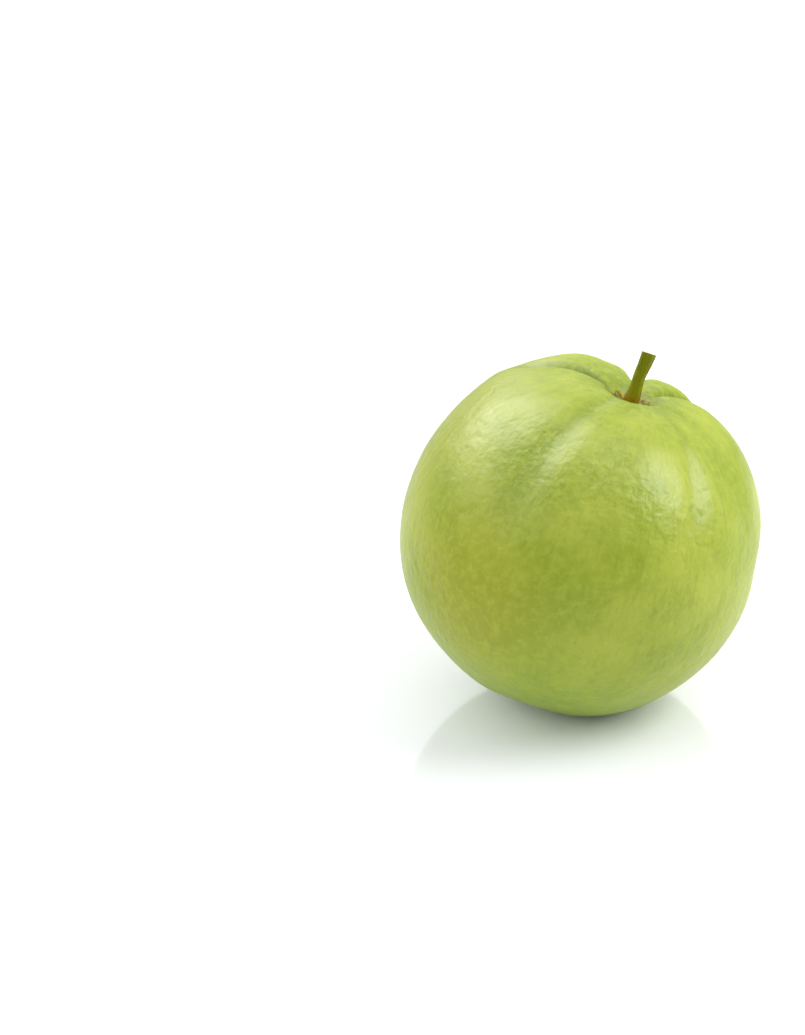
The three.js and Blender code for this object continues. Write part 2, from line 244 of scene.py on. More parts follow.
# The whole skin: outline, hollow, pit, basin, furrows, swellings and fine relief
def skinTree():
    names = ["Width", "Shoulder", "Base", "Squareness", "Lean", "Undulation", "Dimples"]
    tree, given, made = newTree(
        "guavaSkin",
        {"Geometry": "Geometry", **{n: "Float" for n in names}, "Centre": "Vector", "Material": "Material"},
        {"Geometry": "Geometry"},
    )
    polar = addNode(tree, "GeometryNodeInputNamedAttribute", "polar", data_type="FLOAT")
    azimuth = addNode(tree, "GeometryNodeInputNamedAttribute", "azimuth", data_type="FLOAT")
    polarTurn = addNode(tree, "ShaderNodeMath", polar, operation="RADIANS")
    azimuthTurn = addNode(tree, "ShaderNodeMath", azimuth, operation="RADIANS")
    sine = addNode(tree, "ShaderNodeMath", polarTurn, operation="SINE")
    cosine = addNode(tree, "ShaderNodeMath", polarTurn, operation="COSINE")

    upper = addNode(tree, "ShaderNodeMath", cosine, 0.0, operation="GREATER_THAN")
    spread = addNode(tree, "ShaderNodeMath", given["Shoulder"], given["Base"], operation="SUBTRACT")
    halfLength = addNode(tree, "ShaderNodeMath", upper, spread, given["Base"], operation="MULTIPLY_ADD")
    halfWidth = addNode(tree, "ShaderNodeMath", given["Width"], 0.5, operation="MULTIPLY")
    terms = []
    for part, half in ((sine, halfWidth), (cosine, halfLength)):
        ratio = addNode(tree, "ShaderNodeMath", part, half, operation="DIVIDE")
        size = addNode(tree, "ShaderNodeMath", ratio, operation="ABSOLUTE")
        terms.append(addNode(tree, "ShaderNodeMath", size, given["Squareness"], operation="POWER"))
    both = addNode(tree, "ShaderNodeMath", *terms, operation="ADD")
    root = addNode(tree, "ShaderNodeMath", -1.0, given["Squareness"], operation="DIVIDE")
    radius = addNode(tree, "ShaderNodeMath", both, root, operation="POWER")

    hollow = berry["hollow"]
    side = addNode(tree, "ShaderNodeMath", azimuthTurn, math.radians(hollow["deepSide"]), operation="SUBTRACT")
    sideCosine = addNode(tree, "ShaderNodeMath", side, operation="COSINE")
    offAxis = addNode(
        tree, "ShaderNodeMapRange", polar, 0.0, hollow["tiltFull"], 0.0, hollow["tilt"],
        interpolation_type="SMOOTHSTEP")
    depth = addNode(tree, "ShaderNodeMath", sideCosine, offAxis, hollow["depth"], operation="MULTIPLY_ADD")
    dip = addNode(tree, "ShaderNodeMath", addBell(tree, polar, hollow["reach"]), depth, operation="MULTIPLY")
    radius = addNode(tree, "ShaderNodeMath", radius, dip, operation="SUBTRACT")
    fromBase = addNode(tree, "ShaderNodeMath", 180.0, polar, operation="SUBTRACT")
    for dent, distance in ((berry["pit"], polar), (berry["basin"], fromBase)):
        bell = addBell(tree, distance, dent["reach"], dent["steepness"])
        radius = addNode(tree, "ShaderNodeMath", bell, -dent["depth"], radius, operation="MULTIPLY_ADD")

    cut = None
    furrow = furrowTree()
    for row in furrows:
        group = addNode(tree, "GeometryNodeGroup", radius, cut, polar, azimuth, *row, node_tree=furrow)
        radius, cut = group.outputs["Radius"], group.outputs["Cut"]
    swelling = swellingTree()
    for row in swellings:
        group = addNode(tree, "GeometryNodeGroup", radius, polar, azimuth, *row, node_tree=swelling)
        radius = group.outputs["Radius"]

    ribs = berry["baseRibs"]
    ribTurn = addNode(tree, "ShaderNodeMath", azimuth, ribs["first"], operation="SUBTRACT")
    ribPhase = addNode(tree, "ShaderNodeMath", ribTurn, math.radians(ribs["count"]), operation="MULTIPLY")
    ribWave = addNode(tree, "ShaderNodeMath", ribPhase, operation="COSINE")
    ribPlace = addNode(tree, "ShaderNodeMath", polar, ribs["polar"], operation="SUBTRACT")
    ribBell = addBell(tree, ribPlace, ribs["along"])
    ribShape = addNode(tree, "ShaderNodeMath", ribWave, ribBell, operation="MULTIPLY")
    radius = addNode(tree, "ShaderNodeMath", ribShape, ribs["height"], radius, operation="MULTIPLY_ADD")

    outwardX = addNode(tree, "ShaderNodeMath", azimuthTurn, operation="COSINE")
    outwardY = addNode(tree, "ShaderNodeMath", azimuthTurn, operation="SINE")
    flat = addNode(tree, "ShaderNodeCombineXYZ", outwardX, outwardY, 0.0)
    across = addNode(tree, "ShaderNodeVectorMath", flat, named={"Scale": sine}, operation="SCALE")
    upward = addNode(tree, "ShaderNodeCombineXYZ", 0.0, 0.0, cosine)
    direction = addNode(tree, "ShaderNodeVectorMath", across, upward, operation="ADD")

    # fine relief, to both sides of the rule's surface
    for key, label, detail in (("undulation", "Undulation", 1.0), ("dimples", "Dimples", 2.0)):
        bumps = addNode(
            tree, "ShaderNodeTexNoise",
            named={"Vector": direction, "Scale": berry["width"] / 2 / berry[key]["size"], "Detail": detail})
        centred = addNode(tree, "ShaderNodeMath", bumps, 0.5, operation="SUBTRACT")
        radius = addNode(tree, "ShaderNodeMath", centred, given[label], radius, operation="MULTIPLY_ADD")
    radius = addNode(tree, "ShaderNodeMath", radius, berry["inset"], operation="SUBTRACT")
    well = berry["calyxWell"]
    inWell = addNode(
        tree, "ShaderNodeMapRange", polar, well["inner"], well["outer"], interpolation_type="SMOOTHSTEP")
    radius = addNode(tree, "ShaderNodeMath", inWell, -well["depth"], radius, operation="MULTIPLY_ADD")

    placed = addNode(tree, "ShaderNodeVectorMath", direction, named={"Scale": radius}, operation="SCALE")
    leaned = addNode(
        tree, "ShaderNodeVectorRotate",
        named={"Vector": placed, "Angle": given["Lean"]}, rotation_type="Y_AXIS")
    raised = addNode(tree, "ShaderNodeVectorMath", leaned, given["Centre"], operation="ADD")

    # pressed flat where it meets the surface
    soft = berry["restSoftness"]
    split = addNode(tree, "ShaderNodeSeparateXYZ", raised)
    over = addNode(tree, "ShaderNodeMath", split.outputs["Z"], -1.0, operation="MULTIPLY")
    part = addNode(tree, "ShaderNodeMapRange", over, -soft, soft, 0.0, 1.0)
    square = addNode(tree, "ShaderNodeMath", part, 2.0, operation="POWER")
    beyond = addNode(tree, "ShaderNodeMath", over, soft, operation="SUBTRACT")
    fully = addNode(tree, "ShaderNodeMath", beyond, 0.0, operation="MAXIMUM")
    lift = addNode(tree, "ShaderNodeMath", square, soft, fully, operation="MULTIPLY_ADD")
    height = addNode(tree, "ShaderNodeMath", split.outputs["Z"], lift, operation="ADD")
    pressed = addNode(tree, "ShaderNodeCombineXYZ", split.outputs["X"], split.outputs["Y"], height)
    metres = addNode(tree, "ShaderNodeVectorMath", pressed, named={"Scale": mm}, operation="SCALE")

    moved = addNode(tree, "GeometryNodeSetPosition", given["Geometry"], named={"Position": metres})
    # kept for the colours: how deep the furrows are, for the shade painted into them, and lines that run along
    # the meridians
    scale = berry["streakScale"]
    meridian = addNode(tree, "ShaderNodeCombineXYZ", *(
        addNode(tree, "ShaderNodeMath", part, scale[way], operation="MULTIPLY")
        for part, way in ((outwardX, "across"), (outwardY, "across"), (polar, "along"))))
    kept = addNode(
        tree, "GeometryNodeStoreNamedAttribute", moved,
        named={"Name": "furrow", "Value": cut}, data_type="FLOAT", domain="POINT")
    kept = addNode(
        tree, "GeometryNodeStoreNamedAttribute", kept,
        named={"Name": "meridian", "Value": meridian}, data_type="FLOAT_VECTOR", domain="POINT")
    smooth = addNode(tree, "GeometryNodeSetShadeSmooth", kept)
    finished = addNode(tree, "GeometryNodeSetMaterial", smooth, named={"Material": given["Material"]})
    tree.links.new(finished.outputs[0], made["Geometry"])
    return tree


# Guava rind: a thin, waxy, faintly dimpled green skin over pale flesh. The wax gives a soft
# broken highlight, the flesh below lets light through, and oil glands dot it darker.
skinLook = {
    "pale": "#a1ac32",
    "green": "#8a9b1c",
    # deep: the painted shade in the furrows and the pit, and the colour of the streaks
    "deep": "#6c820e",
    "yellow": "#8b9000",
    "gland": "#70861c",
    "below": "#7c9c1a",
    "yellowSpot": {"polar": 101, "azimuth": 234, "fromCentre": 47, "full": 4, "reach": 32, "share": 0.8},
    "patchSize": 21.0,
    "mottleSize": 2.2,
    "glandSpacing": 2.3,
    "streakScale": 1.5,
    # masks: where they start and stop, and their values at both ends
    "patchMask": (0.36, 0.66),
    "towardsGround": (95.0, 150.0, 0.0, 0.7),  # by polar angle
    # painted shade in the furrows, by their depth, and in the pit, by polar angle
    "furrowShade": (0.1, 1.8, 0.0, 0.8),  # by depth
    "pitShade": (9.0, 26.0, 0.55, 0.0),  # by polar angle
    "streakMask": (0.45, 0.75, 0.0, 0.3),
    "glandMask": (0.10, 0.26, 0.22, 0.0),
    "mottleMask": (0.42, 0.68, 0.0, 0.6),
    "waxRoughness": (0.35, 0.7, 0.38, 0.56),
    "dullAtStem": (26.0, 42.0, 0.3, 0.0),  # by polar angle
    "shader": {
        "IOR": 1.38, "Coat Weight": 0.15, "Coat Roughness": 0.25,
        "Subsurface Weight": 0.2, "Subsurface Radius": (1.0, 0.9, 0.25), "Subsurface Scale": 0.003,
    },
    # strength and depth of the relief that is too fine for the mesh
    "dimples": {"size": 3.4, "strength": 0.6, "depth": 0.8},
    "crinkle": {"size": 1.5, "strength": 0.6, "depth": 0.45},
    "grain": {"size": 0.5, "strength": 0.35, "depth": 0.1},
    "lines": {"strength": 0.4, "depth": 0.4},
}


def guavaRind():
    look = skinLook
    material, tree, surface = newMaterial("waxyGuavaRind")
    place = addNode(tree, "ShaderNodeTexCoord").outputs["Object"]
    furrow = addNode(tree, "ShaderNodeAttribute", attribute_name="furrow").outputs["Fac"]
    meridian = addNode(tree, "ShaderNodeAttribute", attribute_name="meridian").outputs["Vector"]
    polar = addNode(tree, "ShaderNodeAttribute", attribute_name="polar").outputs["Fac"]

    patches = addNode(tree, "ShaderNodeTexNoise", named={
        "Vector": place, "Scale": 1 / (look["patchSize"] * mm), "Detail": 3.0, "Roughness": 0.55})
    patchMask = addNode(
        tree, "ShaderNodeMapRange", patches, *look["patchMask"], interpolation_type="SMOOTHSTEP")
    # greener towards the side that faces the ground
    toGround = addNode(
        tree, "ShaderNodeMapRange", polar, *look["towardsGround"], interpolation_type="SMOOTHSTEP")
    # painted shade: darker and greener down in the furrows and the pit
    furrowShade = addNode(tree, "ShaderNodeMapRange", furrow, *look["furrowShade"], interpolation_type="SMOOTHSTEP")
    pitShade = addNode(tree, "ShaderNodeMapRange", polar, *look["pitShade"], interpolation_type="SMOOTHSTEP")
    depth = addNode(tree, "ShaderNodeMath", furrowShade, pitShade, operation="ADD")
    # fine streaks that run from the stem to the calyx
    streaks = addNode(tree, "ShaderNodeTexNoise", named={
        "Vector": meridian, "Scale": look["streakScale"], "Detail": 4.0, "Roughness": 0.6})
    streakMask = addNode(
        tree, "ShaderNodeMapRange", streaks, *look["streakMask"], interpolation_type="SMOOTHSTEP")
    # yellower round one spot on the front left, just below the middle
    spot = look["yellowSpot"]
    turn = Matrix.Rotation(math.radians(spot["azimuth"]), 4, "Z")
    tip = Matrix.Rotation(math.radians(spot["polar"]), 4, "Y")
    middle = berryToWorld @ (turn @ tip @ Vector((0, 0, spot["fromCentre"])))
    away = addNode(tree, "ShaderNodeVectorMath", place, tuple(middle), operation="DISTANCE")
    full, reach = spot["full"] * mm, spot["reach"] * mm
    yellowMask = addNode(
        tree, "ShaderNodeMapRange", away.outputs["Value"], full, reach, spot["share"], 0.0,
        interpolation_type="SMOOTHSTEP")
    # oil glands: small darker dots, and a mottle between them
    glands = addNode(tree, "ShaderNodeTexVoronoi", named={
        "Vector": place, "Scale": 1 / (look["glandSpacing"] * mm), "Randomness": 0.9})
    dot = addNode(
        tree, "ShaderNodeMapRange", glands.outputs["Distance"], *look["glandMask"],
        interpolation_type="SMOOTHSTEP")
    mottle = addNode(tree, "ShaderNodeTexNoise", named={
        "Vector": place, "Scale": 1 / (look["mottleSize"] * mm), "Detail": 5.0, "Roughness": 0.65})
    mottleMask = addNode(
        tree, "ShaderNodeMapRange", mottle, *look["mottleMask"], interpolation_type="SMOOTHSTEP")
    # the colours lie over one another in this order
    colour = hexColour(look["green"])
    for mask, name in ((patchMask, "pale"), (toGround, "below"), (depth, "deep"), (streakMask, "deep"),
                       (yellowMask, "yellow"), (dot, "gland"), (mottleMask, "pale")):
        colour = addNode(
            tree, "ShaderNodeMix", data_type="RGBA",
            named={0: mask, 6: colour, 7: hexColour(look[name])}).outputs[2]
    tree.links.new(colour, surface.inputs["Base Color"])

    # the wax lies thicker here and there, and is dull round the stem
    wax = addNode(tree, "ShaderNodeMapRange", mottle, *look["waxRoughness"])
    dull = addNode(tree, "ShaderNodeMapRange", polar, *look["dullAtStem"], interpolation_type="SMOOTHSTEP")
    rough = addNode(tree, "ShaderNodeMath", wax, dull, operation="ADD")
    tree.links.new(rough.outputs[0], surface.inputs["Roughness"])
    for name, value in look["shader"].items():
        surface.inputs[name].default_value = value

    heights = {"lines": streaks}
    for name, detail, distortion in (("dimples", 1.0, 0.4), ("crinkle", 2.0, 0.0), ("grain", 2.0, 0.0)):
        heights[name] = addNode(tree, "ShaderNodeTexNoise", named={
            "Vector": place, "Scale": 1 / (look[name]["size"] * mm), "Detail": detail, "Distortion": distortion})
    relief = None
    for name in ("dimples", "crinkle", "grain", "lines"):
        relief = addNode(tree, "ShaderNodeBump", named={
            "Strength": look[name]["strength"], "Distance": look[name]["depth"] * mm,
            "Height": heights[name], "Normal": relief})
    tree.links.new(relief.outputs[0], surface.inputs["Normal"])
    return material


guava = newPiece("guavaSkin", skinGrid())
growMesh(guava, skinTree(), {
    "Width": berry["width"], "Shoulder": berry["shoulder"], "Base": berry["base"],
    "Squareness": berry["squareness"], "Lean": math.radians(berry["lean"]), "Centre": berry["centre"],
    "Undulation": berry["undulation"]["height"], "Dimples": berry["dimples"]["height"],
    "Material": guavaRind(),
})
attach(guava, "root")
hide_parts("fruit")
print("skin:", len(guava.data.polygons), "faces")


# Builds a closed mesh from rings of points, with the ends closed to single points
def ringMesh(name, rings, first, last):
    count = len(rings[0])
    points = [first] + [point for ring in rings for point in ring] + [last]
    faces = []
    for i in range(count):
        after = (i + 1) % count
        faces.append((0, 1 + after, 1 + i))
        for row in range(len(rings) - 1):
            lower, upper = 1 + row * count, 1 + (row + 1) * count
            faces.append((lower + i, lower + after, upper + after, upper + i))
        top = 1 + (len(rings) - 1) * count
        faces.append((top + i, top + after, len(points) - 1))
    mesh = bpy.data.meshes.new(name)
    mesh.from_pydata([berryToWorld @ Vector(point) for point in points], [], faces)
    mesh.polygons.foreach_set("use_smooth", [True] * len(mesh.polygons))
    return mesh


def ease(value, start, stop):
    t = min(max((value - start) / (stop - start), 0.0), 1.0)
    return t * t * (3 - 2 * t)


# The stem: an olive stub, wider at its foot and at the slanting cut
stem = {
    "root": 38.7, "tip": 54.8,  # from the berry's centre
    "footRadius": 2.1, "waistRadius": 1.62, "tipRadius": 1.92,
    "bow": 0.2, "cutSlope": 0.3, "ribs": 5, "ribHeight": 0.05,
    # shares of the length over which each of these sets in or fades
    "footFade": (0.08, 0.5), "flareStart": (0.55, 1.0), "ribStart": (0.15, 0.4),
    "slopeStart": (0.6, 1.0), "bowStart": (0.2, 1.0),
    "bark": 0.07,  # depth of the bark's wrinkles
    "inset": 0.04,
    "torn": {"height": 0.16, "size": 1.7},  # the uneven cut
    "pith": {"depth": 0.22, "reach": 0.3},  # the softer middle of the cut
    "cutEdge": 0.1,
    "segments": 72, "rings": 84, "cutRings": 12,
}
plate = {
    "seat": 38.3, "rim": 40.9, "radius": 4.6, "unevenness": 0.12, "inset": 0.12, "segments": 108,
    "crumbs": {"out": 0.03, "up": 0.22, "size": 5.0},
    # its section, as shares of the radius and the height
    "section": [(0.9, 0.0), (0.95, 0.1), (0.99, 0.3), (1.0, 0.5), (0.985, 0.72), (0.95, 0.9), (0.9, 1.0),
                (0.84, 0.97), (0.78, 0.86), (0.7, 0.74), (0.6, 0.65), (0.48, 0.6), (0.3, 0.55)],
    # its flaps: azimuth, extra height, half width in degrees, extra reach
    "curls": [(326, 2.2, 36, 1.0), (200, 1.5, 38, 0.3)],
}


# A point of the stem at this share of its length and, on the cut, this share of its radius
def stemPoint(along, azimuth, share=1.0):
    s = stem
    length = s["tip"] - s["root"]
    foot = (s["footRadius"] - s["waistRadius"]) * (1 - ease(along, *s["footFade"]))
    flare = (s["tipRadius"] - s["waistRadius"]) * ease(along, *s["flareStart"])
    wrinkle = noise.fractal((math.cos(azimuth) * 2.2, math.sin(azimuth) * 2.2, along * 3.0), 0.7, 2.0, 4)
    knot = noise.noise((math.cos(azimuth), math.sin(azimuth), along * 5.0 + 7))
    radius = s["waistRadius"] + foot + flare + s["bark"] * (wrinkle + 0.8 * knot) - s["inset"]
    radius *= (1 + s["ribHeight"] * math.cos(s["ribs"] * azimuth) * ease(along, *s["ribStart"])) * share
    x, y = radius * math.cos(azimuth), radius * math.sin(azimuth)
    z = s["root"] + length * along
    z -= s["cutSlope"] * y * ease(along, *s["slopeStart"])
    x -= s["bow"] * math.sin(math.pi * ease(along, *s["bowStart"])) ** 2
    return x, y, z


def makeStem():
    turns = [2 * math.pi * i / stem["segments"] for i in range(stem["segments"])]
    rings = []
    for k in range(stem["rings"] + 1):
        rings.append([stemPoint(k / stem["rings"], a) for a in turns])
    torn, pith = stem["torn"], stem["pith"]
    for k in range(1, stem["cutRings"]):
        share = 1 - k / stem["cutRings"]
        ring = []
        for a in turns:
            x, y, z = stemPoint(1.0, a, share)
            rough = torn["height"] * noise.fractal((x * torn["size"], y * torn["size"], 3.0), 0.8, 2.0, 3)
            rough -= pith["depth"] * math.exp(-((share / pith["reach"]) ** 2))
            lower = stem["cutEdge"] * ease(1 - share, 0.0, 0.1)
            ring.append((x, y, z + rough * ease(1 - share, 0.0, 0.2) - lower))
        rings.append(ring)
    last = stemPoint(1.0, 0.0, 0.0)
    mesh = ringMesh("stemStub", rings, (0, 0, stem["root"]), (last[0], last[1], last[2] - 0.3))
    count = stem["segments"]
    along = [0.0] + [min(k / stem["rings"], 1.0) for k in range(len(rings)) for _ in range(count)] + [1.0]
    cut = [0.0] + [float(k > stem["rings"]) for k in range(len(rings)) for _ in range(count)] + [1.0]
    mesh.attributes.new("along", "FLOAT", "POINT").data.foreach_set("value", along)
    mesh.attributes.new("cut", "FLOAT", "POINT").data.foreach_set("value", cut)
    return newPiece("stemStub", mesh)


# Radius of the plate's uneven edge
def plateEdge(azimuth):
    wave = 0.6 * math.sin(3 * azimuth + 0.5) + 0.4 * math.sin(7 * azimuth + 2)
    return plate["radius"] * (1 + plate["unevenness"] * wave)


# The corky plate that the stem stands on: dished, with a torn raised edge
def makePlate():
    p = plate
    height = p["rim"] - p["seat"]
    crumbs = p["crumbs"]
    size = crumbs["size"]
    rings = []
    for share, level in p["section"]:
        ring = []
        for i in range(p["segments"]):
            azimuth = 2 * math.pi * i / p["segments"]
            edge = plateEdge(azimuth)
            place = (share * math.cos(azimuth) * size, share * math.sin(azimuth) * size, level * 2)
            crumb = noise.fractal(place, 0.6, 2.0, 4)
            out = edge * share * (1 + crumbs["out"] * crumb) - p["inset"]
            lift = p["seat"] + level * height * (edge / p["radius"]) ** 3 + crumbs["up"] * crumb * level
            for side, extra, halfWidth, further in p["curls"]:
                turn = (math.degrees(azimuth) - side + 180) % 360 - 180
                raised = math.exp(-((turn / halfWidth) ** 2)) * level ** 3 * share
                lift += extra * raised
                out += further * raised
            ring.append((out * math.cos(azimuth), out * math.sin(azimuth), lift))
        rings.append(ring)
    mesh = ringMesh("corkPlate", rings, (0, 0, p["seat"]), (0, 0, p["seat"] + p["section"][-1][1] * height))
    return newPiece("corkPlate", mesh)


# Guava twig: smooth thin bark, still olive green, browner at the foot, with a dry pale cut
stemLook = {
    "bark": "#7c7f04", "barkTop": "#70750a", "foot": "#8a7006", "fleck": "#4f4c06", "cutWood": "#8a8040",
    # masks: where they start and stop, and their values at both ends
    "toTop": (0.3, 0.95), "toFoot": (0.1, 0.42, 0.9, 0.0), "flecks": (0.5, 0.72, 0.0, 0.7),
    "fibreSize": 0.55, "fibreStretch": 0.22, "roughness": 0.65, "ior": 1.2,
}


def twigBark():
    look = stemLook
    material, tree, surface = newMaterial("oliveTwigBark")
    place = addNode(tree, "ShaderNodeTexCoord").outputs["Object"]
    along = addNode(tree, "ShaderNodeAttribute", attribute_name="along").outputs["Fac"]
    cut = addNode(tree, "ShaderNodeAttribute", attribute_name="cut").outputs["Fac"]
    toTop = addNode(tree, "ShaderNodeMapRange", along, *look["toTop"], interpolation_type="SMOOTHSTEP")
    toFoot = addNode(tree, "ShaderNodeMapRange", along, *look["toFoot"], interpolation_type="SMOOTHSTEP")
    fibres = addNode(tree, "ShaderNodeMapping", place, named={
        "Rotation": (0.0, -math.radians(berry["lean"]), 0.0),
        "Scale": (1.0, 1.0, look["fibreStretch"])})
    streaks = addNode(tree, "ShaderNodeTexNoise", named={
        "Vector": fibres, "Scale": 1 / (look["fibreSize"] * mm), "Detail": 4.0, "Roughness": 0.65})
    flecks = addNode(tree, "ShaderNodeMapRange", streaks, *look["flecks"], interpolation_type="SMOOTHSTEP")
    colour = hexColour(look["bark"])
    for mask, name in ((toTop, "barkTop"), (toFoot, "foot"), (flecks, "fleck"), (cut, "cutWood")):
        colour = addNode(
            tree, "ShaderNodeMix", data_type="RGBA",
            named={0: mask, 6: colour, 7: hexColour(look[name])}).outputs[2]
    tree.links.new(colour, surface.inputs["Base Color"])
    surface.inputs["Roughness"].default_value = look["roughness"]
    surface.inputs["IOR"].default_value = look["ior"]
    bark = addNode(tree, "ShaderNodeBump", named={"Strength": 0.6, "Distance": 0.2 * mm, "Height": streaks})
    tree.links.new(bark.outputs[0], surface.inputs["Normal"])
    return material


# Cork: the dry tan scar tissue where the stem joins, crumbly and dull
corkLook = {
    "dark": "#504a02", "light": "#b4a222", "crumbSize": 0.9, "crumbMask": (0.35, 0.65), "roughness": 0.85,
}


def corkTissue():
    look = corkLook
    material, tree, surface = newMaterial("tanCorkTissue")
    place = addNode(tree, "ShaderNodeTexCoord").outputs["Object"]
    crumbs = addNode(tree, "ShaderNodeTexNoise", named={
        "Vector": place, "Scale": 1 / (look["crumbSize"] * mm), "Detail": 5.0, "Roughness": 0.7})
    shade = addNode(tree, "ShaderNodeMapRange", crumbs, *look["crumbMask"], interpolation_type="SMOOTHSTEP")
    colour = addNode(tree, "ShaderNodeMix", data_type="RGBA",
                     named={0: shade, 6: hexColour(look["dark"]), 7: hexColour(look["light"])})
    tree.links.new(colour.outputs[2], surface.inputs["Base Color"])
    surface.inputs["Roughness"].default_value = look["roughness"]
    bump = addNode(tree, "ShaderNodeBump", named={"Strength": 0.8, "Distance": 0.3 * mm, "Height": crumbs})
    tree.links.new(bump.outputs[0], surface.inputs["Normal"])
    return material


for piece, material in ((makeStem(), twigBark()), (makePlate(), corkTissue())):
    piece.data.materials.append(material)
    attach(piece, "root")
    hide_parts("stem")
print("stem and cork plate made")


# The dried calyx: a dished disc, a crown of curled sepals and what is left of the stamens
calyx = {
    "seat": -38.6, "discRadius": 5.6, "discHeight": 2.3, "discSegments": 72,
    "sepals": 5, "sepalLevel": 1.1, "sepalSizes": (0.86, 1.06),
    "stamens": 84, "stamenLength": 2.6, "stamenRadius": 0.085, "stamenInner": 3.1, "stamenOuter": 4.3,
    "stamenHook": 0.45, "stamenTip": 0.35, "stamenLean": 0.35, "stamenSizes": (0.55, 1.0), "stamenTurns": 13,
    "stamenSink": 0.4,
    "styleRadius": 0.42, "styleLength": 2.2,
    "seed": 7,
}
sepalShape = {
    "length": 4.6, "width": 6.4, "thickness": 0.55,
    "columns": 16, "rows": 18,
    "taper": 0.12, "roundness": 2.4, "tip": 0.015,
    "curl": 8, "tipCurl": 74,  # degrees
    "inward": 0.42, "upright": 0.72,  # how far the curl brings it inwards and down
    "creases": 9, "creaseDepth": 0.14, "wrinkleDepth": 0.16,
    "cup": 0.1, "thinTip": 0.45, "thinEdge": 0.6, "inset": 0.7,
}


# One sepal with its root at the origin: X runs round the ring, Y points outwards, Z is its length
def makeSepal():
    p = sepalShape
    ringRadius = calyx["discRadius"]
    columns, rows = p["columns"], p["rows"]
    points, faces = [], []
    for face in (1, -1):
        for j in range(rows + 1):
            t = j / rows
            narrowing = math.sqrt(max(p["tip"], 1 - t ** p["roundness"])) * (1 - p["taper"] * t)
            half = p["width"] / 2 * narrowing
            curl = math.radians(p["curl"] + p["tipCurl"] * t * t)
            for i in range(columns + 1):
                side = 2 * i / columns - 1
                crease = p["creaseDepth"] * math.cos(p["creases"] * side) * (1 - t)
                crease += p["wrinkleDepth"] * noise.noise((side * 2.4, t * 3.1, 4.0))
                thick = face * p["thickness"] / 2 * (1 - p["thinTip"] * t) * (1 - p["thinEdge"] * side ** 4)
                inward = p["inward"] * p["length"] * t * math.sin(curl) + p["cup"] * half * side * side
                out = crease + thick * math.cos(curl) - inward
                rise = p["length"] * t * math.cos(p["upright"] * curl) + thick * math.sin(curl) + 0.15 * crease
                turn = side * half / ringRadius
                radius = ringRadius - p["inset"] + out
                points.append((radius * math.sin(turn), radius * math.cos(turn) - ringRadius, rise))
    front, back = 0, (rows + 1) * (columns + 1)
    wide = columns + 1
    for j in range(rows):
        for i in range(columns):
            a = j * wide + i
            faces.append((front + a, front + a + wide, front + a + wide + 1, front + a + 1))
            faces.append((back + a, back + a + 1, back + a + wide + 1, back + a + wide))
    border = [i for i in range(columns)] + [j * wide + columns for j in range(rows)]
    border += [rows * wide + i for i in range(columns, 0, -1)] + [j * wide for j in range(rows, 0, -1)]
    for a, b in zip(border, border[1:] + border[:1]):
        faces.append((front + a, front + b, back + b, back + a))
    mesh = bpy.data.meshes.new("sepal")
    mesh.from_pydata([[v * mm for v in point] for point in points], [], faces)
    return newPiece("sepal", mesh)


# Stands copies of one sepal in a ring, each a little different
def crownTree():
    tree, given, made = newTree(
        "sepalCrown",
        {"Sepal": "Object", "Count": "Int", "Radius": "Float", "Seed": "Int", "Material": "Material"},
        {"Geometry": "Geometry"},
    )
    ring = addNode(
        tree, "GeometryNodeMeshCircle", named={"Vertices": given["Count"], "Radius": given["Radius"]})
    shape = addNode(tree, "GeometryNodeObjectInfo", given["Sepal"])
    where = addNode(tree, "GeometryNodeInputPosition")
    outward = addNode(
        tree, "FunctionNodeAlignRotationToVector", named={"Vector": where}, axis="Y", pivot_axis="Z")
    least, most = calyx["sepalSizes"]
    size = addNode(
        tree, "FunctionNodeRandomValue", data_type="FLOAT", named={2: least, 3: most, "Seed": given["Seed"]})
    tall = addNode(tree, "ShaderNodeCombineXYZ", 1.0, 1.0, size.outputs[1])
    copies = addNode(tree, "GeometryNodeInstanceOnPoints", ring, named={
        "Instance": shape.outputs["Geometry"], "Rotation": outward, "Scale": tall})
    real = addNode(tree, "GeometryNodeRealizeInstances", copies)
    finished = addNode(tree, "GeometryNodeSetMaterial", real, named={"Material": given["Material"]})
    tree.links.new(finished.outputs[0], made["Geometry"])
    return tree


